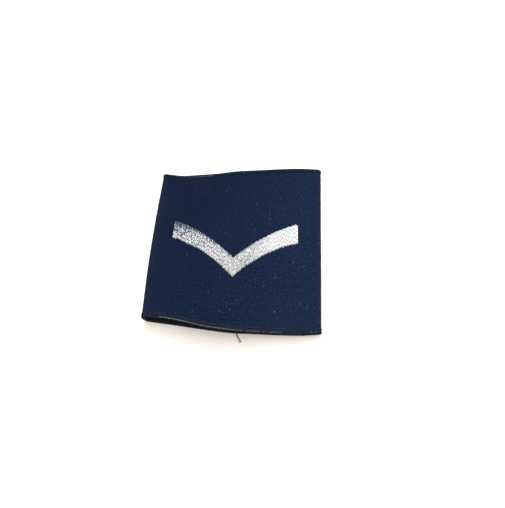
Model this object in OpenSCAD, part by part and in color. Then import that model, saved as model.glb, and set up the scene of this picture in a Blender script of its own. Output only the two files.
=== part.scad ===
// A slip-on rank slide: a tapered tube of uniform cloth with one embroidered chevron.
// It lies on its back panel. +X is across, +Y is towards the narrow end, +Z is up.
// The origin is the middle of the whole slide's footprint, on the surface that it lies on.

/* [Sleeve] */
// Width of the flattened tube at the wide end, over the folds
wide_w = 62; // [56:0.5:72]
// Width of the flattened tube at the narrow end, over the folds
narrow_w = 57; // [50:0.5:64]
// How far the left fold swells out between the ends
left_swell = 0.9; // [0:0.05:1.2]
// Nominal length from hem to hem
sleeve_l = 60; // [50:0.5:75]
// Thickness of the cloth
cloth_t = 1; // [1:0.05:1.2]

/* [Hems] */
// How far the overlock stitching reaches in from the cut edge at the wide end
wide_hem_w = 2.4; // [1.5:0.1:3.5]
// How far it reaches in at the narrow end
narrow_hem_w = 1.4; // [1:0.1:3]
// Thickness of the overlock thread on each side of the cloth
thread_t = 0.2; // [0.2:0.05:0.35]

/* [Chevron] */
// Half of the chevron's width
chevron_half_w = 21.8; // [18:0.1:24]
// Where the chevron's outer point is, along the sleeve
tip_y = -11.8; // [-13:0.1:-10.5]
// Where the chevron's inner notch is, along the sleeve
notch_y = -4.7; // [-5.5:0.1:-3.5]
// Slope of the outer edge at the point
outer_tip_slope = 1; // [0.95:0.01:1.1]
// Slope of the outer edge at the arm's end
outer_end_slope = 0.28; // [0.15:0.01:0.3]
// Slope of the inner edge at the notch
inner_tip_slope = 0.9; // [0.8:0.01:1]
// Slope of the inner edge at the arm's end
inner_end_slope = 0.4; // [0.3:0.01:0.5]
// How far the left arm's lower corner is trimmed
corner_trim = 0.75; // [0:0.05:1.2]
// How far the left arm's end slants out towards its lower corner
end_slant = 1; // [0:0.1:1.2]
// Thickness of the raised embroidery
embroidery_t = 0.5; // [0.3:0.05:0.8]

/* [Hidden] */

// Room between the thread and the cloth, so that the pieces stay separate
gap = 0.04;
// How far the stitching reaches past the cut edge
nose = thread_t + gap;
// The hems' parts of the sleeve's length
wide_hem_v = wide_hem_w / sleeve_l;
narrow_hem_v = narrow_hem_w / sleeve_l;
// The cloth lies on the stitching at its ends, and on the surface past this part of its length
settle_v = 0.12;
// Moves the footprint's middle to the origin
centre_y = 0.85;

// The points round one section: along the back, a side fold, along the front, a side fold
BACK_N = 18;
FOLD_N = 7;
FRONT_N = 29;
RING_N = BACK_N + FRONT_N + 2 * FOLD_N;
RIGHT_FOLD_AT = BACK_N;
FRONT_AT = BACK_N + FOLD_N;
LEFT_FOLD_AT = FRONT_AT + FRONT_N;

// Columns of SECTIONS, whose rows are even steps from the wide mouth to the narrow one.
// The fold columns are the inner radii of the side folds. The crown is the front's highest line.
// right_fall is how soon the front comes down to the right of the crown.
LEFT_FOLD = 0;
RIGHT_FOLD = 1;
CROWN_X = 2;
CROWN_Z = 3;
RIGHT_FALL = 4;
SECTIONS = [
    // left_fold, right_fold, crown_x, crown_z, right_fall
    [1.70, 0.55, -14, 7.80, 1.5],
    [0.90, 0.35, -10.5, 7.30, 1.5],
    [0.50, 0.30, -7, 7.10, 1.4],
    [0.40, 0.30, -4, 7.15, 1.3],
    [0.55, 0.55, -2, 7.70, 1.3]
];
LEFT_FALL = 1.3;

// Columns of REACH, whose rows are even steps across, from the left fold to the right one.
// Each is how far that edge reaches past its nominal end, with its stitching.
WIDE_BACK = 0;
WIDE_FRONT = 1;
NARROW_BACK = 2;
NARROW_FRONT = 3;
REACH = [
    // wide_back, wide_front, narrow_back, narrow_front
    [-2.2, -2.9, -2.9, -2.5],
    [-1.5, -2.0, -2.4, -3.8],
    [-0.6, -0.5, -1.8, -4.5],
    [0.3, 1.0, -1.2, -4.0],
    [1.0, 1.7, -0.7, -3.1],
    [1.1, 1.8, -0.3, -2.4],
    [1.2, 1.6, 0.0, -1.3],
    [1.1, 1.3, 0.1, -0.3],
    [0.5, 0.5, 0.0, 0.0]
];

// Stations along the sleeve, as parts of its length
STATIONS = [
    0, wide_hem_v, 0.08, settle_v, 0.2, 0.3, 0.4, 0.5, 0.6, 0.7, 0.8,
    1 - settle_v, 0.93, 1 - narrow_hem_v, 1
];

// Steps along one arm of the chevron, and across it
ARM_N = 14;
BAND_N = 4;
// Rounding of the embroidery's long edges
EDGE_IN = 0.35;
// Where the left arm's end starts to narrow and slant, from the middle
END_FROM = 17.3;

function clamp(x, low, high) = min(max(x, low), high);
function mix(a, b, t) = a + (b - a) * t;
function ease(t) = t * t * (3 - 2 * t);

// A smooth curve through one column of a table whose rows are evenly spaced, at t from 0 to 1
function column(table, c, t) =
    let (
        last = len(table) - 1,
        at = clamp(t, 0, 1) * last,
        k = min(floor(at), last - 1),
        f = at - k,
        a = table[max(k - 1, 0)][c],
        b = table[k][c],
        d = table[k + 1][c],
        e = table[min(k + 2, last)][c],
        turn_b = k == 0 ? d - b : (d - a) / 2,
        turn_d = k == last - 1 ? d - b : (e - b) / 2
    )
    (2 * f ^ 3 - 3 * f ^ 2 + 1) * b + (f ^ 3 - 2 * f ^ 2 + f) * turn_b
    + (3 * f ^ 2 - 2 * f ^ 3) * d + (f ^ 3 - f ^ 2) * turn_d;

function half_w(v) = mix(wide_w, narrow_w, clamp(v, 0, 1)) / 2;

// Half of the width on the left, where the fold swells out
function left_half_w(v) =
    let (t = clamp(v, 0, 1))
    half_w(v) + left_swell * 4 * t * (1 - t);

// Outer radius of a side fold
function fold_r(c, v) = column(SECTIONS, c, v) + cloth_t;

// How high the back panel lies: on the stitching at the ends, and on the surface between
function lift(v) =
    let (
        from_end = min(v, 1 - v),
        hem_v = v < 0.5 ? wide_hem_v : narrow_hem_v
    )
    nose * (1 - ease(clamp((from_end - hem_v) / (settle_v - hem_v), 0, 1)));

// Height of the front panel's outer face at x
function front_z(x, v) =
    let (
        left_r = fold_r(LEFT_FOLD, v),
        right_r = fold_r(RIGHT_FOLD, v),
        crown_x = column(SECTIONS, CROWN_X, v),
        crown_z = column(SECTIONS, CROWN_Z, v),
        left_x = left_r - left_half_w(v),
        right_x = half_w(v) - right_r,
        on_left = x < crown_x,
        side_z = lift(v) + 2 * (on_left ? left_r : right_r),
        side_x = on_left ? left_x : right_x,
        fall = on_left ? LEFT_FALL : column(SECTIONS, RIGHT_FALL, v),
        t = clamp((x - side_x) / (crown_x - side_x), 0, 1)
    )
    side_z + (crown_z - side_z) * pow(sin(90 * t), fall);

// A point of the sleeve's outer face, as x, z and its share of the front panel
function ring_xz(i, v) =
    let (
        k = (i + RING_N) % RING_N,
        left_r = fold_r(LEFT_FOLD, v),
        right_r = fold_r(RIGHT_FOLD, v),
        left_x = left_r - left_half_w(v),
        right_x = half_w(v) - right_r
    )
    k < RIGHT_FOLD_AT ?
        [mix(left_x, right_x, k / BACK_N), lift(v), 0]
    : k < FRONT_AT ?
        let (turn = 180 * (k - RIGHT_FOLD_AT) / FOLD_N)
        [right_x + right_r * sin(turn), lift(v) + right_r * (1 - cos(turn)), (1 - cos(turn)) / 2]
    : k < LEFT_FOLD_AT ?
        let (x = mix(right_x, left_x, (k - FRONT_AT) / FRONT_N))
        [x, front_z(x, v), 1]
    :
        let (turn = 180 * (k - LEFT_FOLD_AT) / FOLD_N)
        [left_x - left_r * sin(turn), lift(v) + left_r * (1 + cos(turn)), (1 + cos(turn)) / 2];

// Where a line along the sleeve is, from its place across (-1 to 1) and its share of the front
function along_y(across, share, v) =
    let (
        t = (clamp(across, -1, 1) + 1) / 2,
        wide = mix(column(REACH, WIDE_BACK, t), column(REACH, WIDE_FRONT, t), share),
        narrow = mix(column(REACH, NARROW_BACK, t), column(REACH, NARROW_FRONT, t), share),
        wide_y = nose - sleeve_l / 2 - wide,
        narrow_y = sleeve_l / 2 + narrow - nose
    )
    centre_y + mix(wide_y, narrow_y, v);

// A point at the i-th place round the sleeve, at v of its length, moved out by off
function ring_point(i, v, off) =
    let (
        here = ring_xz(i, v),
        step = ring_xz(i + 1, v) - ring_xz(i - 1, v),
        long = norm([step[0], step[1]]),
        x = here[0] + off * step[1] / long,
        z = here[1] - off * step[0] / long
    )
    [x, along_y(here[0] / half_w(v), here[2], v), z];

// A closed profile of [v, off] pairs, carried round the sleeve
module ring(profile) {
    n = len(profile);
    points = [for (i = [0 : RING_N - 1]) for (p = profile) ring_point(i, p[0], p[1])];
    faces = [
        for (i = [0 : RING_N - 1])
            for (k = [0 : n - 1])
                let (
                    a = i * n + k,
                    b = i * n + (k + 1) % n,
                    c = ((i + 1) % RING_N) * n + (k + 1) % n,
                    d = ((i + 1) % RING_N) * n + k
                )
                each [[a, b, c], [a, c, d]]
    ];
    polyhedron(points = points, faces = faces, convexity = 6);
}

module sleeve() {
    outer = [for (v = STATIONS) [v, 0]];
    inner = [for (k = [len(STATIONS) - 1 : -1 : 0]) [STATIONS[k], -cloth_t]];
    color([0.11, 0.17, 0.27]) ring(concat(outer, inner));
}

// The stitching's own profile: it wraps the cut edge with a rounded nose.
// The first number of each pair is the distance in from the cut edge.
function hem_profile(hem_w) = [
    [hem_w, gap],
    [hem_w, gap + thread_t],
    [0, gap + thread_t],
    [-0.75 * nose, gap],
    [-nose, -cloth_t / 2],
    [-0.75 * nose, -cloth_t - gap],
    [0, -cloth_t - gap - thread_t],
    [hem_w, -cloth_t - gap - thread_t],
    [hem_w, -cloth_t - gap],
    [-gap, -cloth_t - gap],
    [-gap, gap]
];

module wide_hem() {
    color([0.15, 0.16, 0.2])
        ring([for (p = hem_profile(wide_hem_w)) [p[0] / sleeve_l, p[1]]]);
}

module narrow_hem() {
    profile = hem_profile(narrow_hem_w);
    last = len(profile) - 1;
    color([0.15, 0.16, 0.2])
        ring([for (k = [last : -1 : 0]) [1 - profile[k][0] / sleeve_l, profile[k][1]]]);
}

// The edge curve of an arm: a start, a slope there, and a slope at the arm's end
function arm_edge(start, slope, end_slope, x) =
    start + slope * x - (slope - end_slope) * x ^ 2 / (2 * chevron_half_w);

// How far into the left arm's end x is, from 0 to 1
function end_t(x) = clamp((-x - END_FROM) / (chevron_half_w - END_FROM), 0, 1);

function outer_edge(x) =
    let (t = end_t(x))
    arm_edge(tip_y, outer_tip_slope, outer_end_slope, abs(x)) + corner_trim * t * (2 - t);

function inner_edge(x) = arm_edge(notch_y, inner_tip_slope, inner_end_slope, abs(x));

// The part of the sleeve's length that a point of the front panel is at
function front_v(x, y, v = 0.5, tries = 4) =
    tries == 0 ? v
    : let (
        across = x / half_w(v),
        low = along_y(across, 1, 0),
        high = along_y(across, 1, 1)
    )
    front_v(x, y, (y - low) / (high - low), tries - 1);

// A point over the front panel, so far above it
function over_front(x, y, above) = [x, y, front_z(x, front_v(x, y)) + above];

// The embroidery's section at x: a flat bottom, and a top with lowered long edges
function band_point(x, k) =
    let (
        top = k > BAND_N,
        share = (top ? 2 * BAND_N + 1 - k : k) / BAND_N,
        inset = top ? EDGE_IN : 0,
        y = mix(outer_edge(x) + inset, inner_edge(x) - inset, share),
        slanted_x = x - end_slant * end_t(x) * (1 - share)
    )
    over_front(slanted_x, y, top ? embroidery_t : gap);

module chevron() {
    columns = 2 * ARM_N;
    n = 2 * BAND_N + 2;
    points = [
        for (c = [0 : columns])
            for (k = [0 : n - 1])
                band_point(chevron_half_w * (c / ARM_N - 1), k)
    ];
    sides = [
        for (c = [0 : columns - 1])
            for (k = [0 : n - 1])
                let (
                    p = c * n + k,
                    q = c * n + (k + 1) % n,
                    r = (c + 1) * n + (k + 1) % n,
                    s = (c + 1) * n + k
                )
                each [[p, q, r], [p, r, s]]
    ];
    // Each end is closed by quads between the bottom row and the top row
    ends = [
        for (k = [0 : BAND_N - 1])
            let (
                e = columns * n,
                k2 = n - 1 - k
            )
            each [
                [k, k2, k2 - 1], [k, k2 - 1, k + 1],
                [e + k, e + k2 - 1, e + k2], [e + k, e + k + 1, e + k2 - 1]
            ]
    ];
    color([0.85, 0.86, 0.87])
        polyhedron(points = points, faces = concat(sides, ends), convexity = 6);
}

sleeve();
chevron();
wide_hem();
narrow_hem();
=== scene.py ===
"""Looks of a slip-on rank slide: a tapered tube of navy uniform cloth with a silver embroidered chevron.

Lengths are millimetres until a mesh is made, which is in metres. The cloth's shape is the solid model's own,
worked out by the same functions on a finer grid, with the small unevenness, threads and stitches that the
solids leave out. Tones go from 0, the deeper of a material's two colours, to 1, the paler one.
"""

import math

import bmesh
import bpy
import numpy as np
from mathutils import Matrix, Vector


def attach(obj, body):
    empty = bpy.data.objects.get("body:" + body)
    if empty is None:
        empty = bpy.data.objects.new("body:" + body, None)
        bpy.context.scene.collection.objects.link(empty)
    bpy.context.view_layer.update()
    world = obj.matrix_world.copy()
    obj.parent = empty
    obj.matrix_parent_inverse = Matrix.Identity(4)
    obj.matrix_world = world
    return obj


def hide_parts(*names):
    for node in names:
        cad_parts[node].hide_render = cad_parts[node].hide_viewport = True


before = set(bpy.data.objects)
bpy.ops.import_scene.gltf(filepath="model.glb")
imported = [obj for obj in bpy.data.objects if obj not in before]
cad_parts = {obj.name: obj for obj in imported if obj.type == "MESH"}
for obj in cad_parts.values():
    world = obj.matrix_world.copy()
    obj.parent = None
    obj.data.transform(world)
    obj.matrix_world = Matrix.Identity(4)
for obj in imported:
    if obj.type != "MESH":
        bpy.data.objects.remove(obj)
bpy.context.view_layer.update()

MM = 0.001
TURN = 2 * math.pi
rng = np.random.default_rng(seed=11)

# Sizes of the sleeve and its hems, as in the solid model
WIDE_W = 62
NARROW_W = 57
LEFT_SWELL = 0.9
SLEEVE_L = 60
CLOTH_T = 1
WIDE_HEM_W = 2.4
NARROW_HEM_W = 1.4
THREAD_T = 0.2
GAP = 0.04
NOSE = THREAD_T + GAP
SETTLE_V = 0.12
CENTRE_Y = 0.85

# Rows of SECTIONS are even steps from the wide mouth to the narrow one
LEFT_FOLD, RIGHT_FOLD, CROWN_X, CROWN_Z, RIGHT_FALL = range(5)
SECTIONS = np.array([
    # left_fold, right_fold, crown_x, crown_z, right_fall
    [1.70, 0.55, -14, 7.80, 1.5],
    [0.90, 0.35, -10.5, 7.30, 1.5],
    [0.50, 0.30, -7, 7.10, 1.4],
    [0.40, 0.30, -4, 7.15, 1.3],
    [0.55, 0.55, -2, 7.70, 1.3],
])
LEFT_FALL = 1.3

# Rows of REACH are even steps across, from the left fold to the right one
WIDE_BACK, WIDE_FRONT, NARROW_BACK, NARROW_FRONT = range(4)
REACH = np.array([
    # wide_back, wide_front, narrow_back, narrow_front
    [-2.2, -2.9, -2.9, -2.5],
    [-1.5, -2.0, -2.4, -3.8],
    [-0.6, -0.5, -1.8, -4.5],
    [0.3, 1.0, -1.2, -4.0],
    [1.0, 1.7, -0.7, -3.1],
    [1.1, 1.8, -0.3, -2.4],
    [1.2, 1.6, 0.0, -1.3],
    [1.1, 1.3, 0.1, -0.3],
    [0.5, 0.5, 0.0, 0.0],
])

# The chevron's outline, as in the solid model
CHEVRON_HALF_W = 21.8
TIP_Y = -11.8
NOTCH_Y = -4.7
OUTER_SLOPES = (1, 0.28)
INNER_SLOPES = (0.9, 0.4)
CORNER_TRIM = 0.75
END_FROM = 17.3

# Where its stitches end, a little off the solid's straight ends
LOW_END_OUT = 0.75
HIGH_END_OUT = 0.45
RIGHT_END_FROM = 20
RIGHT_END_IN = 0.35
RIGHT_CORNER = 0.9

# Hollows and swells of the front panel: their depth, and the two waves that cross to make them
BROAD_DEPTH = 0.10
BROAD_WAVES = ((7.1, 17, 0.6), (-23, 9.3, 1.1))
FINE_DEPTH = 0.035
FINE_WAVES = ((2.9, -4.7, 2.0), (6.1, 3.3, 0))

# The sleeve's finer rows next to its hems, its seam and the painted purple sheen along its folds
END_V = 0.08
SEAM_DEPTH = 0.3
SEAM_W = 0.35
FOLD_SHEEN_REACH = 1.6
FOLD_SHEEN_SHARE = 0.6

# How much wear the cloth has, with painted sheen, more to the right and towards the wide end, and its painted
# light, paler towards the right
SHEEN_AND_WEAR_MIDDLE = 0.72
SHEEN_AND_WEAR_OVER = 100
SHEEN_AND_WEAR_RANGE = (0.35, 1)
PAINTED_LIGHT_LEFT = 0.37
PAINTED_LIGHT_MORE = 0.27
PAINTED_LIGHT_FROM_X = -10
PAINTED_LIGHT_OVER = 35
PAINTED_LIGHT_CURVE = 1.5

# The cloth's weave and fibres, and how high they stand in its bump
TWILL_PITCH = 0.55
PICK_PITCH = 0.8
FIBRES_PER_MM = 2.4
RIB_H = 0.5
PICK_H = 0.25
FIBRE_H = 1.6
FIBRE_ROUGH = (0.95, 0.75)

# Its tones, and its specks and lint: the chance from which a cell has one, and the reach over which it fades
CLOUDS_PER_MM = 0.07
FIBRE_CONTRAST = 4.2
CLOUD_CONTRAST = 0.27
SPECKS_PER_MM = 2.2
SPECK_CHANCE = (0.8, 1.0)
SPECK_REACH = (0.15, 0.45)
LINT_PER_MM = 0.8
LINT_CHANCE = (0.92, 0.93)
LINT_REACH = (0.1, 0.24)
INNER_FACE_AT = -50

# Overlock thread: its bed, its loops, which cross over each other, and how far a stitch strays
THREAD_R = 0.08
PLY_PITCH = 0.35
PLY_CONTRAST = 0.12
BED_T = 0.05
BED_SHARE = 0.7
BED_CLEAR = 0.01
BED_TURN = 3
BED_TONE = 0.35
LOOPER_PITCH = 0.9
LOOP_CROSSING = 1.4
LOOP_RISE_T = 0.5
LOOP_TONES = (0.1, 0.8)
WANDER = 0.05
OUT_WANDER = 0.2
ROW_LEAN = 0.1

# Tones of the rows of stitches, by the place across: the needle row's pale dots are painted glints, and the
# chains' pale dots are pale thread with painted glints. What is higher than FRONT_Z is on the front
FRONT_Z = 2
PLAIN_TONES = (0.1, 0.9)
NEEDLE_GLINT_TONES = (0.05, 0.25)
NEEDLE_GLINT_CHANCE = 0.5
PALE_TONES = (0.6, 1)
WIDE_DOT_TONES = (0.3, 0.65)
WIDE_CHAIN_FROM_X = -24.5
WIDE_CHAIN_TO_X = 4
WIDE_CHAIN_FADE = 5
WIDE_DOTS_TO_X = 19
WIDE_DOT_CHANCE = 0.75
NARROW_DOT_TONES = (0.3, 0.8)
NARROW_CHAIN_FROM_X = -24
NARROW_CHAIN_TO_X = -9
RARE_DOT_CHANCE = 0.2

# The chevron's padded bed and its columns of stitches, with small notches along the right arm's inner edge
BED_H = 0.3
EDGE_IN = 0.12
SILVER_BED_TONE = 0.3
COLUMN_PITCH = 0.33
NOTCH_H = 0.35
NOTCH_PITCH = 1.32
STITCH_L = 1.5
SHORTEST = 0.35
CUT_WANDER = 0.12
LOW_RAGGED = (0.08, 0.2)
HIGH_RAGGED = (0, 0.3)

# A satin stitch: its size, how it strays, and how far in from each edge the bed under it rounds off
SATIN_R = 0.2
SATIN_FLAT = 0.35
SATIN_LEAN = 0.05
SATIN_SIDE_WANDER = 0.015
SATIN_HEIGHT_WANDER = 0.008
LOW_ROUND = 0.3
HIGH_ROUND = 0.8

# Its height over the bed and its width, at its ends and in its middle, in radii
SATIN_RISE = (0.1, 0.35)
SATIN_TAPER = (0.72, 1)

# Where across the chevron its look changes: darker from wear and painted shade towards the left end, and a
# painted highlight on the right arm
SHADE_AND_WEAR_X = (-21, -9)
GRAINY_X = (-3, -12)
EVEN_X = (-9, -4)
PAINTED_HIGHLIGHT_X = (4, 13)

# Tones of the satin. Painted shade darkens its inner edge, where it rounds away from the light, and a painted
# glint lights its outer edge
SATIN_TONES = (0.58, 0.6, 0.85)
SHADE_AND_WEAR_DARKENS = (-0.15, 0.85)
ROLL_SHADE_W = 1.4
ROLL_SHADE_CHANGE = 0.5
PAINTED_ROLL_SHADE = (0.95, 0.5)
GLINT = 0.12
GLINT_W = 0.7
TONE_SPREAD = 0.11
PAINTED_HIGHLIGHT_SPREAD = -0.08
WORN_SPREAD = 0.1

# The silver thread's twist, and its crinkled grain: weaker under the painted highlight on the right arm,
# stronger towards the left end, where it has wear
SILVER_PITCH = 0.45
GRAIN_PER_MM = 3.2
GRAIN_CONTRAST = (2.6, 0.9)
WORN_CONTRAST = 3.6
TWIST_H = 0.35
CRINKLE_H = 2.0
SILVER_ROUGH = (0.6, 0.5)

# The loose thread end, which hangs out of the wide hem on to the surface and splits at its tip
LOOSE_R = 0.2
LOOSE_PALE_T = 0.6
LOOSE_ROUTE = [
    (2.1, -28.9, 0.6),
    (2.2, -30.1, 0.7),
    (2.25, -30.9, 0.45),
    (2.7, -31.6, 0.2),
    (3.3, -32.45, 0.2),
    (3.75, -33.1, 0.2),
]
LOOSE_FORK = (3.15, -33.35, 0.2)

# Colours
NAVY_DEEP = (0.0001, 0.0030, 0.0119)
NAVY_PALE = (0.0051, 0.0132, 0.0381)
FOLD_SHEEN_PURPLE = (0.0090, 0.0100, 0.0230)
SHEEN = (0.55, 0.62, 0.85)
SPECK = (0.030, 0.044, 0.071)
LINT = (0.040, 0.056, 0.090)
SILVER_DULL = (0.040, 0.054, 0.072)
SILVER_BRIGHT = (0.52, 0.53, 0.545)
OVERLOCK_DEEP = (0.0020, 0.0052, 0.0150)
OVERLOCK_PALE = (0.0090, 0.0142, 0.0320)
# Greyer thread inside the mouth, also painted paler in place of light there.
OVERLOCK_INSIDE_WITH_PAINTED_LIGHT = (0.0110, 0.0130, 0.0190)
LOOPER_DEEP = (0.006, 0.009, 0.018)
PALE_LOOPER_AND_GLINT = (0.22, 0.23, 0.25)
LOOSE_DEEP = (0.012, 0.008, 0.007)
LOOSE_PALE = (0.14, 0.10, 0.08)
FLOOR_DEEP = (0.86, 0.86, 0.86)
FLOOR_PALE = (0.89, 0.89, 0.89)

# The photograph's view, found from the slide's corners: angles in degrees, and the place that it looks at
CAMERA_AZIMUTH = -19.86
CAMERA_ELEVATION = 69.26
CAMERA_ROLL = -17.30
CAMERA_ANGLE = 30
CAMERA_AWAY = 332.3
CAMERA_AIM = (5.64, -0.93, 0)

# The floor, a warm sky that is strongest towards one side, and the key light
FLOOR_HALF_W = 20000
FLOOR_NOISE_PER_M = 60
SKY_COLOUR = (1.0, 0.94, 0.87, 1)
SKY_TOWARDS = (0.45, 0.10, 0.88)
SKY_EDGES = (-0.1, 1.0)
SKY_STRENGTHS = (0.3, 2.05)
KEY_AT = (-80, 540, 580)
KEY_W = 200
KEY_POWER = 7.0
KEY_COLOUR = (0.96, 0.98, 1.0)

# Where the parts of a section start. A place round it goes on from each to the next, and from LEFT to 4
BACK, RIGHT, FRONT, LEFT = range(4)


def mix(a, b, t):
    return a + (b - a) * t


def ease(t):
    return t * t * (3 - 2 * t)


def column(table, c, t):
    """A smooth curve through one column of a table, at t from 0 to 1."""
    last = len(table) - 1
    at = np.clip(t, 0, 1) * last
    k = np.minimum(np.floor(at).astype(int), last - 1)
    f = at - k
    values = table[:, c]
    a, b = values[np.maximum(k - 1, 0)], values[k]
    d, e = values[k + 1], values[np.minimum(k + 2, last)]
    turn_b = np.where(k == 0, d - b, (d - a) / 2)
    turn_d = np.where(k == last - 1, d - b, (e - b) / 2)
    return (
        (2 * f**3 - 3 * f**2 + 1) * b
        + (f**3 - 2 * f**2 + f) * turn_b
        + (3 * f**2 - 2 * f**3) * d
        + (f**3 - f**2) * turn_d
    )


def run_along(points):
    """The length of a line from its first point to each."""
    return np.concatenate([[0], np.cumsum(np.linalg.norm(np.diff(points, axis=0), axis=1))])


def half_w(v):
    return mix(WIDE_W, NARROW_W, np.clip(v, 0, 1)) / 2


def left_half_w(v):
    """Half of the width on the left, where the fold swells out."""
    t = np.clip(v, 0, 1)
    return half_w(v) + LEFT_SWELL * 4 * t * (1 - t)


def fold_r(c, v):
    return column(SECTIONS, c, v) + CLOTH_T


def lift(v):
    """How high the back panel lies: on the stitching at the ends, and on the surface between."""
    from_end = np.minimum(v, 1 - v)
    hem_share = np.where(v < 0.5, WIDE_HEM_W, NARROW_HEM_W) / SLEEVE_L
    return NOSE * (1 - ease(np.clip((from_end - hem_share) / (SETTLE_V - hem_share), 0, 1)))


def front_z(x, v):
    """Height of the front panel's outer face."""
    crown_x = column(SECTIONS, CROWN_X, v)
    crown_z = column(SECTIONS, CROWN_Z, v)
    left_r, right_r = fold_r(LEFT_FOLD, v), fold_r(RIGHT_FOLD, v)
    on_left = x < crown_x
    side_z = lift(v) + 2 * np.where(on_left, left_r, right_r)
    side_x = np.where(on_left, left_r - left_half_w(v), half_w(v) - right_r)
    fall = np.where(on_left, LEFT_FALL, column(SECTIONS, RIGHT_FALL, v))
    t = np.clip((x - side_x) / (crown_x - side_x), 0, 1)
    return side_z + (crown_z - side_z) * np.sin(t * TURN / 4) ** fall


def section(place, v):
    """x, z and share of the front, for places round the section at v of the sleeve's length."""
    place = np.mod(place, 4)
    part = np.floor(place).astype(int)
    f = place - part
    left_r, right_r = fold_r(LEFT_FOLD, v), fold_r(RIGHT_FOLD, v)
    left_x, right_x = left_r - left_half_w(v), half_w(v) - right_r
    turn = f * TURN / 2
    front_x = mix(right_x, left_x, f)
    x = np.choose(part, [
        mix(left_x, right_x, f),
        right_x + right_r * np.sin(turn),
        front_x,
        left_x - left_r * np.sin(turn),
    ])
    z = np.choose(part, [
        lift(v) + 0 * f,
        lift(v) + right_r * (1 - np.cos(turn)),
        front_z(front_x, v),
        lift(v) + left_r * (1 + np.cos(turn)),
    ])
    share = np.choose(part, [0 * f, (1 - np.cos(turn)) / 2, 1 + 0 * f, (1 + np.cos(turn)) / 2])
    return x, z, share


def along_y(across, share, v):
    """Where a line along the sleeve is, from its place across (-1 to 1) and its share of the front."""
    t = (np.clip(across, -1, 1) + 1) / 2
    wide = mix(column(REACH, WIDE_BACK, t), column(REACH, WIDE_FRONT, t), share)
    narrow = mix(column(REACH, NARROW_BACK, t), column(REACH, NARROW_FRONT, t), share)
    return CENTRE_Y + mix(NOSE - SLEEVE_L / 2 - wide, SLEEVE_L / 2 + narrow - NOSE, v)


def ripple(x, y, depth, waves):
    """The height of waves that cross.

    Each has the lengths across and along that turn it by a radian, and its turn at the middle.
    """
    for across, along, start in waves:
        depth = depth * np.sin(x / across + y / along + start)
    return depth


def unevenness(x, y, share):
    """Slight hollows and swells on the front panel, as cloth has when it is well used."""
    return (ripple(x, y, BROAD_DEPTH, BROAD_WAVES) + ripple(x, y, FINE_DEPTH, FINE_WAVES)) * share**2


def cloth(place, v, off):
    """Points on the cloth, moved out from its outer face by off."""
    place, v, off = np.broadcast_arrays(*(np.asarray(a, float) for a in (place, v, off)))
    step = 0.01
    x, z, share = section(place, v)
    x0, z0, _ = section(place - step, v)
    x1, z1, _ = section(place + step, v)
    run = np.hypot(x1 - x0, z1 - z0)
    y = along_y(x / half_w(v), share, v)
    out = off + unevenness(x, y, share)
    return np.stack([x + out * (z1 - z0) / run, y, z - out * (x1 - x0) / run], -1)


def place_grid(back_n, fold_n, front_n):
    """Places round a section, even within each of its four parts."""
    counts = {BACK: back_n, RIGHT: fold_n, FRONT: front_n, LEFT: fold_n}
    return np.concatenate([part + np.arange(n) / n for part, n in counts.items()])


def lengths_round(v):
    """Fine places round the section at v, and the length of cloth from the first to each."""
    places = np.append(place_grid(back_n=120, fold_n=60, front_n=240), 4)
    return places, run_along(cloth(places, v, 0))


def front_v(x, y):
    """The part of the sleeve's length that a point of the front panel is at."""
    v = np.full_like(np.asarray(y, float), 0.5)
    for _ in range(4):
        low, high = along_y(x / half_w(v), 1, 0), along_y(x / half_w(v), 1, 1)
        v = (y - low) / (high - low)
    return v


def over_front(x, y, above):
    """Points over the front panel's outer face."""
    return np.stack([x, y, front_z(x, front_v(x, y)) + unevenness(x, y, 1) + above], -1)


def arm_edge(start, slopes, x):
    """The edge curve of an arm, mirrored across the middle."""
    x = np.abs(x)
    return start + slopes[0] * x - (slopes[0] - slopes[1]) * x**2 / (2 * CHEVRON_HALF_W)


def end_t(x):
    """How far into the left arm's end x is, from 0 to 1."""
    return np.clip((-x - END_FROM) / (CHEVRON_HALF_W - END_FROM), 0, 1)


def right_t(x):
    """How far into the right arm's end x is, from 0 to 1."""
    return np.clip((x - RIGHT_END_FROM) / (CHEVRON_HALF_W - RIGHT_END_FROM), 0, 1)


def outer_edge(x):
    """The edge towards the tip, with the left arm's corner trimmed."""
    t = end_t(x)
    return arm_edge(TIP_Y, OUTER_SLOPES, x) + CORNER_TRIM * t * (2 - t)


def inner_edge(x):
    """The edge towards the notch, with the right arm's corner rounded off."""
    return arm_edge(NOTCH_Y, INNER_SLOPES, x) - RIGHT_CORNER * right_t(x) ** 3


def slanted(x, share):
    """x, moved as the stitches run out at the arms' ends. share is 0 at the outer edge, 1 at the inner."""
    return x - end_t(x) * mix(LOW_END_OUT, HIGH_END_OUT, share) - RIGHT_END_IN * right_t(x) * share


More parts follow.
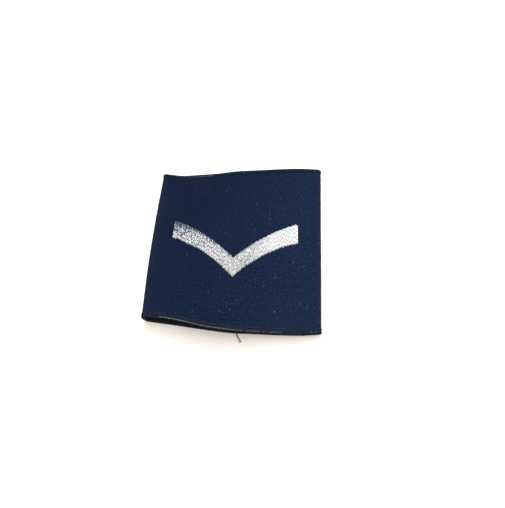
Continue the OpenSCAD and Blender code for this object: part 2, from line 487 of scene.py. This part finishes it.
class Mesh:
    """Collects points, faces and point values, in millimetres, and makes one object of them."""

    def __init__(self):
        self.points, self.faces, self.values, self.count = [], [], {}, 0

    def add(self, points, *faces, **values):
        """Each value is an array with a number, or a row of three, for every point."""
        points = np.asarray(points, float).reshape(-1, 3)
        self.points.append(points)
        self.faces += [np.asarray(block, int) + self.count for block in faces]
        for name, value in values.items():
            self.values.setdefault(name, []).append(value)
        self.count += len(points)

    def make(self, name, material):
        mesh = bpy.data.meshes.new(name)
        faces = [face for block in self.faces for face in block.tolist()]
        mesh.from_pydata((np.concatenate(self.points) * MM).tolist(), [], faces)
        for key, blocks in self.values.items():
            value = np.concatenate(blocks)
            kind, field = ("FLOAT", "value") if value.ndim == 1 else ("FLOAT_VECTOR", "vector")
            mesh.attributes.new(key, kind, "POINT").data.foreach_set(field, value.astype(np.float32).ravel())
        sorted_out = bmesh.new()
        sorted_out.from_mesh(mesh)
        bmesh.ops.recalc_face_normals(sorted_out, faces=sorted_out.faces)
        sorted_out.to_mesh(mesh)
        sorted_out.free()
        mesh.shade_smooth()
        mesh.materials.append(material)
        made = bpy.data.objects.new(name, mesh)
        bpy.context.scene.collection.objects.link(made)
        return made


def grid_faces(rows, columns, rows_close=False, columns_close=False):
    """Quads between the points of a grid, whose rows and columns may close on themselves."""
    i = np.arange(rows if rows_close else rows - 1)[:, None]
    j = np.arange(columns if columns_close else columns - 1)[None, :]
    i2, j2 = (i + 1) % rows, (j + 1) % columns
    corners = (i * columns + j, i2 * columns + j, i2 * columns + j2, i * columns + j2)
    return np.stack(np.broadcast_arrays(*corners), -1).reshape(-1, 4)


def tube(mesh, path, radii, up, tone, sides=6, flat=1.0, **values):
    """A closed thread along a path. Its section is flat times as high along up as it is wide.

    Each value has a number for every point of the path.
    """
    path = np.asarray(path, float)
    n = len(path)
    radii = np.broadcast_to(np.asarray(radii, float), n)[:, None]
    tone = np.broadcast_to(tone, n)
    along = np.gradient(path, axis=0)
    along /= np.linalg.norm(along, axis=1)[:, None]
    side = np.cross(along, np.broadcast_to(up, path.shape))
    side /= np.linalg.norm(side, axis=1)[:, None]
    up = np.cross(side, along)
    turn = np.arange(sides) / sides * TURN
    wide, high = radii * np.cos(turn), radii * flat * np.sin(turn)
    rings = path[:, None] + side[:, None] * wide[..., None] + up[:, None] * high[..., None]
    tips = [path[0] - along[0] * radii[0] / 2, path[-1] + along[-1] * radii[-1] / 2]
    length = run_along(path)
    thread = np.stack(np.broadcast_arrays(length[:, None], turn, tone[:, None]), -1).reshape(-1, 3)
    at_tips = [[0, 0, tone[0]], [length[-1], 0, tone[-1]]]
    k = np.arange(sides)
    next_k = (k + 1) % sides
    last_ring = (n - 1) * sides
    mesh.add(
        np.concatenate([rings.reshape(-1, 3), tips]),
        grid_faces(n, sides, columns_close=True),
        np.stack([0 * k + n * sides, next_k, k], -1),
        np.stack([0 * k + n * sides + 1, last_ring + k, last_ring + next_k], -1),
        thread=np.concatenate([thread, at_tips]),
        **{key: np.append(np.repeat(v, sides), [v[0], v[-1]]).astype(float) for key, v in values.items()},
    )


class Graph:
    """One material's nodes, put together by name."""

    def __init__(self, name, **constants):
        self.material = bpy.data.materials.new(name)
        self.material.use_nodes = True
        self.tree = self.material.node_tree
        self.shader = self.tree.nodes["Principled BSDF"]
        self.shade(**constants)

    def put(self, socket, value):
        if isinstance(value, bpy.types.NodeSocket):
            self.tree.links.new(value, socket)
        elif hasattr(value, "__len__") and len(value) == 3 and socket.type == "RGBA":
            socket.default_value = (*value, 1)
        else:
            socket.default_value = value

    def node(self, kind, inputs=(), output=0, **settings):
        """A node with those settings and inputs, given by name or number. Returns one of its outputs."""
        made = self.tree.nodes.new("ShaderNode" + kind)
        for key, value in settings.items():
            setattr(made, key, value)
        for key, value in dict(inputs).items():
            self.put(made.inputs[key], value)
        return made.outputs[output]

    def attribute(self, name, output="Vector"):
        return self.node("Attribute", attribute_name=name, output=output)

    def split(self, vector):
        """The three parts of a vector."""
        return self.node("SeparateXYZ", {0: vector}).node.outputs

    def maths(self, operation, a, b=0.0, c=0.0):
        return self.node("Math", {0: a, 1: b, 2: c}, operation=operation)

    def add(self, a, b):
        return self.maths("ADD", a, b)

    def minus(self, a, b):
        return self.maths("SUBTRACT", a, b)

    def times(self, a, b):
        return self.maths("MULTIPLY", a, b)

    def wave(self, at, pitch):
        return self.maths("SINE", self.times(at, TURN / pitch))

    def span(self, value, low, high, to_low=0.0, to_high=1.0):
        """value from low to high, taken to the range from to_low to to_high and held there."""
        return self.node("MapRange", {0: value, 1: low, 2: high, 3: to_low, 4: to_high})

    def blend(self, share, a, b):
        return self.node("Mix", {0: share, 6: a, 7: b}, output=2, data_type="RGBA")

    def noise(self, place, scale, detail=2.0, roughness=0.5):
        inputs = {"Vector": place, "Scale": scale, "Detail": detail, "Roughness": roughness}
        return self.node("TexNoise", inputs)

    def cells(self, place, scale, output="Distance"):
        return self.node("TexVoronoi", {"Vector": place, "Scale": scale}, output=output)

    def flecks(self, place, scale, chance, reach, strength):
        """Spots in the middles of a few cells, picked by chance, which fade out over their reach."""
        picked = self.span(self.split(self.cells(place, scale, "Color"))[0], *chance, 0.0, strength)
        return self.times(picked, self.span(self.cells(place, scale), *reach, 1.0, 0.0))

    def thread(self, pitch):
        """The twist of a thread's plies, and the thread's own tone."""
        length, turn, tone = self.split(self.attribute("thread"))
        return self.maths("SINE", self.add(self.times(length, TURN / pitch), turn)), tone

    def bump(self, height, distance, strength):
        return self.node("Bump", {"Height": height, "Distance": distance, "Strength": strength})

    def shade(self, **sockets):
        for key, value in sockets.items():
            self.put(self.shader.inputs[key.replace("_", " ")], value)
        return self.material


def navy_cloth():
    """Dense navy twill with pale specks and lint, painted light that grows paler to the right, and a painted
    purple sheen along its folds.
    """
    g = Graph("navy_cloth", Metallic=0.0, Specular_IOR_Level=0.055, Sheen_Weight=0.007, Sheen_Roughness=0.5,
              Sheen_Tint=SHEEN)
    at = g.attribute("cloth")
    across, along, _ = g.split(at)
    # Wear with painted sheen: the pale fibres and specks show more where this is high, towards the right and
    # the wide end.
    wear_and_painted_light = g.attribute("wear_and_painted_light", "Fac")
    fibres = g.noise(at, FIBRES_PER_MM, roughness=0.6)
    clouds = g.noise(at, CLOUDS_PER_MM, detail=3.0)
    grain = g.times(g.minus(fibres, 0.5), g.times(wear_and_painted_light, FIBRE_CONTRAST))
    cloudy = g.maths("MULTIPLY_ADD", clouds, CLOUD_CONTRAST, -CLOUD_CONTRAST / 2)
    # The light attribute is painted light: the cloth's tone is made paler towards the right.
    tone = g.add(g.add(g.attribute("light", "Fac"), grain), cloudy)
    colour = g.blend(g.span(tone, 0.0, 1.0), NAVY_DEEP, NAVY_PALE)
    # A painted purple sheen along the folds.
    colour = g.blend(g.times(g.attribute("painted_fold_sheen", "Fac"), FOLD_SHEEN_SHARE), colour, FOLD_SHEEN_PURPLE)
    colour = g.blend(g.flecks(at, SPECKS_PER_MM, SPECK_CHANCE, SPECK_REACH, wear_and_painted_light), colour, SPECK)
    colour = g.blend(g.flecks(at, LINT_PER_MM, LINT_CHANCE, LINT_REACH, wear_and_painted_light), colour, LINT)
    ribs = g.wave(g.add(across, along), TWILL_PITCH)
    picks = g.wave(g.minus(across, along), PICK_PITCH)
    weave = g.add(g.times(ribs, RIB_H), g.times(picks, PICK_H))
    height = g.add(weave, g.times(fibres, FIBRE_H))
    rough = g.span(fibres, 0.2, 0.8, *FIBRE_ROUGH)
    bumps = g.bump(height, distance=0.04 * MM, strength=0.7)
    return g.shade(Base_Color=colour, Roughness=rough, Normal=bumps)


def thread_material(name, deep, pale, roughness, inner=None):
    """Dyed thread with its plies' twist, in a slightly different tone for each stitch. Inside the mouth it
    takes a greyer colour, painted paler in place of light there.
    """
    g = Graph(name, Metallic=0.0, Roughness=roughness, Specular_IOR_Level=0.12)
    twist, tone = g.thread(PLY_PITCH)
    colour = g.blend(g.span(g.add(tone, g.times(twist, PLY_CONTRAST)), 0.0, 1.0), deep, pale)
    if inner:
        colour = g.blend(g.attribute("inside", "Fac"), colour, inner)
    return g.shade(Base_Color=colour, Normal=g.bump(twist, distance=0.03 * MM, strength=0.6))


def silver_thread():
    """Bright metallised thread, flat and crinkled. It is duller towards its left end, from wear and painted
    shade, and more uneven there.
    """
    g = Graph("silver_embroidery", Metallic=1.0, Anisotropic=0.2)
    twist, tone = g.thread(SILVER_PITCH)
    place = g.attribute("place")
    x = g.split(place)[0]
    contrast = g.span(x, *PAINTED_HIGHLIGHT_X, *GRAIN_CONTRAST)
    contrast = g.maths("MULTIPLY_ADD", g.span(x, *GRAINY_X), WORN_CONTRAST, contrast)
    grain = g.minus(g.noise(place, GRAIN_PER_MM, roughness=0.6), 0.5)
    tone = g.add(tone, g.times(grain, contrast))
    colour = g.blend(g.span(tone, 0.0, 1.0), SILVER_DULL, SILVER_BRIGHT)
    rough = g.span(grain, -0.2, 0.2, *SILVER_ROUGH)
    crinkle = g.add(g.times(twist, TWIST_H), g.times(grain, CRINKLE_H))
    bumps = g.bump(crinkle, distance=0.02 * MM, strength=0.5)
    return g.shade(Base_Color=colour, Roughness=rough, Normal=bumps)


def sleeve_piece(material):
    """The cloth itself: a closed wall with a seam down the middle of its back."""
    places = place_grid(back_n=72, fold_n=14, front_n=110)
    v = np.concatenate([
        np.linspace(0, END_V, 12, endpoint=False),
        np.linspace(END_V, 1 - END_V, 106, endpoint=False),
        np.linspace(1 - END_V, 1, 13),
    ])
    outer_p, outer_v = np.meshgrid(places, v, indexing="ij")
    inner_v = outer_v[:, ::-1]
    x, _, share = section(outer_p, outer_v)
    y = along_y(x / half_w(outer_v), share, outer_v)
    seam = SEAM_DEPTH * np.exp(-((x / SEAM_W) ** 2)) * (1 - share)
    # Painted sheen: how near a point is to a fold.
    painted_fold_sheen = np.exp(-(((half_w(outer_v) - np.abs(x)) / FOLD_SHEEN_REACH) ** 2))
    # Wear and painted sheen, more to the right and towards the wide end.
    wear_and_painted_light = np.clip(SHEEN_AND_WEAR_MIDDLE + (x - y) / SHEEN_AND_WEAR_OVER, *SHEEN_AND_WEAR_RANGE)
    # Painted light: the cloth's tone grows paler towards the right.
    light = PAINTED_LIGHT_LEFT + PAINTED_LIGHT_MORE * np.clip((x - PAINTED_LIGHT_FROM_X) / PAINTED_LIGHT_OVER, 0, 1) ** PAINTED_LIGHT_CURVE
    around = np.interp(outer_p, *lengths_round(0.5))
    outer_at = np.stack([around, outer_v * SLEEVE_L, 0 * around], -1)
    inner_at = np.stack([around, inner_v * SLEEVE_L, 0 * around + INNER_FACE_AT], -1)
    outer = cloth(outer_p, outer_v, -seam)
    inner = cloth(outer_p, inner_v, -CLOTH_T)
    mesh = Mesh()
    mesh.add(
        np.concatenate([outer, inner], 1),
        grid_faces(len(places), 2 * len(v), rows_close=True, columns_close=True),
        cloth=np.concatenate([outer_at, inner_at], 1).reshape(-1, 3),
        painted_fold_sheen=np.concatenate([painted_fold_sheen, 0 * painted_fold_sheen], 1).ravel(),
        wear_and_painted_light=np.concatenate([wear_and_painted_light, wear_and_painted_light[:, ::-1]], 1).ravel(),
        light=np.concatenate([light, light[:, ::-1]], 1).ravel(),
    )
    piece = mesh.make("cloth_sleeve", material)
    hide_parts("sleeve")
    return piece


def hem_v(distance, at_wide):
    """The part of the sleeve's length that is this far in from a cut edge."""
    return distance / SLEEVE_L if at_wide else 1 - distance / SLEEVE_L


def hem_steps(outer_n, nose_n, inner_n):
    """Steps over a hem: to 1 on the outer face, to 2 round the cut edge and to 3 on the inner face."""
    nose = np.linspace(1, 2, nose_n)[1:-1]
    return np.concatenate([np.linspace(0, 1, outer_n), nose, np.linspace(2, 3, inner_n)])


def hem_path(t, hem_w, out):
    """Distance in from the cut edge and offset out from the outer face, at steps over a hem."""
    turn = np.clip(t - 1, 0, 1) * TURN / 2
    over = out + CLOTH_T / 2
    run_in = np.where(t < 1, hem_w * (1 - t), np.where(t > 2, hem_w * (t - 2), 0))
    distance = run_in - (NOSE - THREAD_R) * np.sin(turn)
    return distance, over * np.cos(turn) - CLOTH_T / 2


class Mouth:
    """One end of the sleeve, with a whole number of stitches round it."""

    def __init__(self, at_wide, pitch):
        self.places, self.lengths = lengths_round(hem_v(0, at_wide))
        self.count = round(self.lengths[-1] / pitch)
        self.pitch = self.lengths[-1] / self.count

    def place(self, k):
        """Places round the section, counted in stitches."""
        return np.interp(k * self.pitch % self.lengths[-1], self.lengths, self.places)


def hem_bed(mesh, hem_w, at_wide):
    """A close bed of thread wrapped over the cut edge, under the loops."""
    bed_w = BED_SHARE * hem_w
    places = place_grid(back_n=60, fold_n=12, front_n=100)
    distance, off = hem_path(hem_steps(6, 8, 6), bed_w, BED_T)
    inner_off = -CLOTH_T - BED_CLEAR
    distance = np.concatenate([distance, [bed_w, 0, 0, bed_w]])
    off = np.concatenate([off, [inner_off, inner_off, BED_CLEAR, BED_CLEAR]])
    grid_p, grid_d = np.meshgrid(places, distance, indexing="ij")
    around = np.interp(grid_p, *lengths_round(hem_v(0, at_wide)))
    mesh.add(
        cloth(grid_p, hem_v(grid_d, at_wide), off[None, :]),
        grid_faces(*grid_p.shape, rows_close=True, columns_close=True),
        thread=np.stack([around, grid_d * BED_TURN, BED_TONE + 0 * around], -1).reshape(-1, 3),
        inside=np.broadcast_to(off < -CLOTH_T / 2, grid_p.shape).astype(float).ravel(),
    )


def hem_loops(mesh, hem_w, at_wide):
    """The looper threads, in pairs that slant apart towards the cut edge and meet their neighbours there."""
    mouth = Mouth(at_wide, LOOPER_PITCH)
    t = hem_steps(7, 7, 6)
    slant = np.interp(t, (0, 1, 2, 3), (0, 0.5, 0.5, 0))
    risen = ease(np.clip(np.minimum(t, 3 - t) / LOOP_RISE_T, 0, 1))
    for k in range(mouth.count):
        for way, height in ((1, THREAD_R * LOOP_CROSSING), (-1, THREAD_R)):
            inward, ahead = rng.normal(0, WANDER, 2)
            distance, off = hem_path(t, hem_w * (1 + 2 * inward), mix(-THREAD_R, height, risen))
            place = mouth.place(k + way * slant + ahead)
            path = cloth(place, hem_v(distance, at_wide), off)
            up = path - cloth(place, hem_v(np.maximum(distance, 0), at_wide), -CLOTH_T / 2)
            path[:, 2] = np.maximum(path[:, 2], THREAD_R)
            tube(mesh, path, THREAD_R, up, rng.uniform(*LOOP_TONES), inside=off < -CLOTH_T / 2)


def hem_piece(name, node, hem_w, at_wide, material):
    """Overlock stitching over a cut edge."""
    mesh = Mesh()
    hem_bed(mesh, hem_w, at_wide)
    hem_loops(mesh, hem_w, at_wide)
    piece = mesh.make(name, material)
    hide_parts(node)
    return piece


def stitch_row(name, at_wide, material, tone_at, distance, out, pitch, length, radius):
    """A row of short stitches round a mouth, each arched out of the cloth. length is a share of the pitch."""
    mesh = Mesh()
    mouth = Mouth(at_wide, pitch)
    s = np.linspace(-0.5, 0.5, 8)
    arch = 0.9 - 4 * s**2
    width = 1 - 12 * s**4
    for k in range(mouth.count):
        ahead, inward, outward = rng.normal(0, WANDER, 3)
        place = mouth.place(k + 0.5 + s * length + ahead)
        v = hem_v(distance + inward + ROW_LEAN * s, at_wide)
        off = out + radius * arch + outward * OUT_WANDER
        path = cloth(place, v, off)
        up = path - cloth(place, v, off - THREAD_T)
        path[:, 2] = np.maximum(path[:, 2], radius)
        tube(mesh, path, radius * width, up, tone_at(path[len(path) // 2]))
    piece = mesh.make(name, material)
    return piece


def plain_tone(middle):
    return float(rng.uniform(*PLAIN_TONES))


def needle_glint_tone(middle):
    """About half of the needle's stitches on the front show a little, as painted glints."""
    return float(rng.uniform(*NEEDLE_GLINT_TONES) * (rng.uniform() < NEEDLE_GLINT_CHANCE) * (middle[2] > FRONT_Z))


def wide_chain_tone(middle):
    """The looper chain is pale along the left half of the front's edge, and shows as dots to its right. Its
    pale tone is pale thread with painted glints.
    """
    x, _, z = middle
    if z < FRONT_Z or x < WIDE_CHAIN_FROM_X:
        return 0.0
    pale = np.clip((WIDE_CHAIN_TO_X - x) / WIDE_CHAIN_FADE, 0, 1)
    chance = WIDE_DOT_CHANCE if x < WIDE_DOTS_TO_X else RARE_DOT_CHANCE
    dot = rng.uniform(*WIDE_DOT_TONES) * (rng.uniform() < chance)
    return float(mix(dot, rng.uniform(*PALE_TONES), pale))


def narrow_chain_tone(middle):
    """Pale dots, of pale thread with painted glints, show along the left part of the narrow edge, and a few
    beyond.
    """
    x, _, z = middle
    if z < FRONT_Z or x < NARROW_CHAIN_FROM_X:
        return 0.0
    if x < NARROW_CHAIN_TO_X:
        return float(rng.uniform(*PALE_TONES))
    return float(rng.uniform(*NARROW_DOT_TONES) * (rng.uniform() < RARE_DOT_CHANCE))


def chevron_bed(mesh):
    """The padding that the satin stitches lie on."""
    bed_half_w = CHEVRON_HALF_W - 2 * EDGE_IN
    x = np.linspace(-bed_half_w, bed_half_w, 131)
    s = np.linspace(0, 1, 13)
    top = BED_H * np.sqrt(np.clip(1 - (2 * s - 1) ** 6, 0, 1))
    low, high = outer_edge(x)[:, None] + EDGE_IN, inner_edge(x)[:, None] - EDGE_IN
    grid_x = slanted(x[:, None], s[None, :])
    points = over_front(grid_x, mix(low, high, s), np.maximum(top, GAP)[None, :] + 0 * grid_x)
    n, m = grid_x.shape
    ends = np.arange(n * m).reshape(n, m)[[0, -1]]
    values = np.stack([grid_x, points[..., 1], 0 * grid_x + SILVER_BED_TONE], -1).reshape(-1, 3)
    mesh.add(points, grid_faces(n, m, columns_close=True), ends, thread=values, place=values)


def satin_tone(at_x, y, low, high):
    """The tone of the satin at x and y, between the edges low and high, and its spread over the stitches. It
    holds painted light: shade along the inner edge, a glint along the outer edge, a highlight on the right
    arm, and shade with wear towards the left end.
    """
    # Wear and painted shade, towards the left end.
    wear_and_painted_light = np.interp(at_x, SHADE_AND_WEAR_X, (1, 0))
    even = np.interp(at_x, EVEN_X, (0, 1))
    # A painted highlight on the right arm.
    painted_highlight = np.interp(at_x, PAINTED_HIGHLIGHT_X, (0, 1))
    left, middle, right = SATIN_TONES
    upper = (y - low) / (high - low)
    roll_w = ROLL_SHADE_W - ROLL_SHADE_CHANGE * painted_highlight + ROLL_SHADE_CHANGE * (1 - even)
    # How much painted shade falls on the inner edge.
    painted_roll_shade = 1 - ease(np.clip((high - y) / roll_w, 0, 1))
    tone = mix(mix(left, middle, even), right, painted_highlight) - wear_and_painted_light * mix(*SHADE_AND_WEAR_DARKENS, upper)
    # Painted shade along the inner edge, and a painted glint along the outer edge.
    tone = tone - mix(*PAINTED_ROLL_SHADE, even) * painted_roll_shade + GLINT * (1 - np.clip((y - low) / GLINT_W, 0, 1))
    return tone, TONE_SPREAD + PAINTED_HIGHLIGHT_SPREAD * painted_highlight + WORN_SPREAD * wear_and_painted_light


def satin_stitch(mesh, at_x, a, b, low, high):
    """One stitch from a to b along the sleeve. It dips into the cloth at its ends."""
    s = np.linspace(0, 1, 8)
    y = mix(a, b, s)
    lean = rng.normal(0, SATIN_LEAN)
    x = slanted(at_x, (y - low) / (high - low)) + lean * (s - 0.5) + rng.normal(0, SATIN_SIDE_WANDER)
    from_edge = np.clip(np.minimum((y - low) / LOW_ROUND, (high - y) / HIGH_ROUND), 0, 1)
    bed = GAP + (BED_H - GAP) * np.sqrt(from_edge * (2 - from_edge))
    arch = 1 - (2 * s - 1) ** 4
    above = bed + SATIN_R * mix(*SATIN_RISE, arch) + rng.normal(0, SATIN_HEIGHT_WANDER)
    radii = SATIN_R * mix(*SATIN_TAPER, arch)
    tone, spread = satin_tone(at_x, y, low, high)
    tube(mesh, over_front(x, y, above), radii, (0, 0, 1), tone + rng.normal(0, spread), flat=SATIN_FLAT)
    mesh.values["place"].append(mesh.points[-1])


def chevron_piece(material):
    """Satin stitches over a padded bed, in columns that are broken into short stitches laid like bricks."""
    mesh = Mesh()
    chevron_bed(mesh)
    for c in range(round(2 * CHEVRON_HALF_W / COLUMN_PITCH)):
        at_x = -CHEVRON_HALF_W + (c + 0.5) * COLUMN_PITCH
        notched = NOTCH_H * (at_x / NOTCH_PITCH % 1) if at_x > 0 else 0
        low, high = outer_edge(at_x), inner_edge(at_x) + notched
        cuts = np.arange(low - rng.uniform(0, 1) * STITCH_L, high + STITCH_L, STITCH_L)
        cuts += rng.normal(0, CUT_WANDER, len(cuts))
        for a, b in zip(cuts[:-1], cuts[1:]):
            a = max(a, low - rng.uniform(*LOW_RAGGED))
            b = min(b, high - rng.uniform(*HIGH_RAGGED))
            if b - a > SHORTEST:
                satin_stitch(mesh, at_x, a, b, low, high)
    piece = mesh.make("chevron_embroidery", material)
    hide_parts("chevron")
    return piece


def loose_thread(material):
    """The overlock's cut thread end, and the finer strand that forks off near its tip."""
    mesh = Mesh()
    t = np.linspace(0, 1, 24)
    strands = (
        (LOOSE_ROUTE, np.interp(t, (0, 0.75, 1), (1, 0.9, 0.5)), 0),
        (LOOSE_ROUTE[2:-1] + [LOOSE_FORK], 0.5, 0.8),
    )
    for route, width, paler in strands:
        path = np.stack([column(np.array(route), c, t) for c in range(3)], -1)
        tone = ease(np.clip((t - LOOSE_PALE_T) / (1 - LOOSE_PALE_T) + paler, 0, 1))
        tube(mesh, path, LOOSE_R * width, (0, 0, 1), tone, sides=8)
    piece = mesh.make("loose_thread", material)
    return piece


def floor():
    """A plain pale floor."""
    side = FLOOR_HALF_W * MM
    mesh = bpy.data.meshes.new("floor")
    corners = [(-side, -side, 0), (side, -side, 0), (side, side, 0), (-side, side, 0)]
    mesh.from_pydata(corners, [], [(0, 1, 2, 3)])
    g = Graph("pale_floor", Roughness=0.8, Specular_IOR_Level=0.2)
    mottled = g.noise(g.node("TexCoord", output="Object"), FLOOR_NOISE_PER_M)
    mesh.materials.append(g.shade(Base_Color=g.blend(mottled, FLOOR_DEEP, FLOOR_PALE)))
    made = bpy.data.objects.new("floor", mesh)
    bpy.context.scene.collection.objects.link(made)


def sky():
    """Soft light from all round, which rises smoothly towards one side."""
    world = bpy.data.worlds.new("studio")
    world.use_nodes = True
    nodes, links = world.node_tree.nodes, world.node_tree.links
    ground = nodes["Background"]
    ground.inputs["Color"].default_value = SKY_COLOUR
    towards = nodes.new("ShaderNodeVectorMath")
    towards.operation = "DOT_PRODUCT"
    towards.inputs[1].default_value = Vector(SKY_TOWARDS).normalized()
    links.new(nodes.new("ShaderNodeTexCoord").outputs["Generated"], towards.inputs[0])
    strength = nodes.new("ShaderNodeMapRange")
    strength.interpolation_type = "SMOOTHSTEP"
    for socket, value in zip(strength.inputs[1:5], (*SKY_EDGES, *SKY_STRENGTHS)):
        socket.default_value = value
    links.new(towards.outputs["Value"], strength.inputs[0])
    links.new(strength.outputs[0], ground.inputs["Strength"])
    bpy.context.scene.world = world


def key_light():
    """A soft round light behind the slide, aimed at it."""
    light = bpy.data.lights.new("key", "AREA")
    light.shape = "DISK"
    light.size = KEY_W * MM
    light.energy = KEY_POWER
    light.color = KEY_COLOUR
    made = bpy.data.objects.new("key", light)
    made.location = [a * MM for a in KEY_AT]
    made.rotation_mode = "QUATERNION"
    made.rotation_quaternion = (-Vector(KEY_AT)).to_track_quat("-Z", "Y")
    bpy.context.scene.collection.objects.link(made)


def camera():
    """The photograph's view."""
    azimuth, elevation, roll = (math.radians(a) for a in (CAMERA_AZIMUTH, CAMERA_ELEVATION, CAMERA_ROLL))
    level = math.cos(elevation)
    back = Vector((-math.sin(azimuth) * level, -math.cos(azimuth) * level, math.sin(elevation)))
    flat_right = Vector((0, 0, 1)).cross(back).normalized()
    flat_up = back.cross(flat_right)
    right = math.cos(roll) * flat_right + math.sin(roll) * flat_up
    up = math.cos(roll) * flat_up - math.sin(roll) * flat_right
    made = bpy.data.objects.new("camera", bpy.data.cameras.new("camera"))
    made.data.sensor_fit = "HORIZONTAL"
    made.data.angle = math.radians(CAMERA_ANGLE)
    made.data.clip_start, made.data.clip_end = 0.01, 10
    turned = Matrix((right, up, back)).transposed().to_4x4()
    made.matrix_world = Matrix.Translation(Vector(CAMERA_AIM) * MM + CAMERA_AWAY * MM * back) @ turned
    bpy.context.scene.collection.objects.link(made)
    bpy.context.scene.camera = made


navy = navy_cloth()
dark_thread = thread_material("overlock_thread", OVERLOCK_DEEP, OVERLOCK_PALE, roughness=0.85,
                              inner=OVERLOCK_INSIDE_WITH_PAINTED_LIGHT)
pale_thread_and_glints = thread_material("pale_looper_thread_and_glints", LOOPER_DEEP, PALE_LOOPER_AND_GLINT, roughness=0.7)
brown_thread = thread_material("loose_thread", LOOSE_DEEP, LOOSE_PALE, roughness=0.7)
silver = silver_thread()

sleeve = sleeve_piece(navy)
hems = [
    hem_piece("wide_hem_overlock", "wide_hem", WIDE_HEM_W, True, dark_thread),
    hem_piece("narrow_hem_overlock", "narrow_hem", NARROW_HEM_W, False, dark_thread),
]
rows = [
    stitch_row("wide_hem_needle_row", True, pale_thread_and_glints, needle_glint_tone,
               distance=1.25, out=0.2, pitch=1.1, length=0.5, radius=0.07),
    stitch_row("narrow_hem_needle_row", False, dark_thread, plain_tone,
               distance=1.2, out=0.12, pitch=1.1, length=0.6, radius=0.07),
    stitch_row("wide_hem_chain", True, pale_thread_and_glints, wide_chain_tone,
               distance=0.12, out=0.12, pitch=0.8, length=0.75, radius=0.11),
    stitch_row("narrow_hem_chain", False, pale_thread_and_glints, narrow_chain_tone,
               distance=0.5, out=0.2, pitch=1.05, length=0.45, radius=0.09),
]
chevron = chevron_piece(silver)
loose = loose_thread(brown_thread)
for piece in [sleeve, *hems, *rows, chevron, loose]:
    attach(piece, "root")

floor()
sky()
key_light()
camera()
bpy.context.scene.view_settings.view_transform = "Standard"
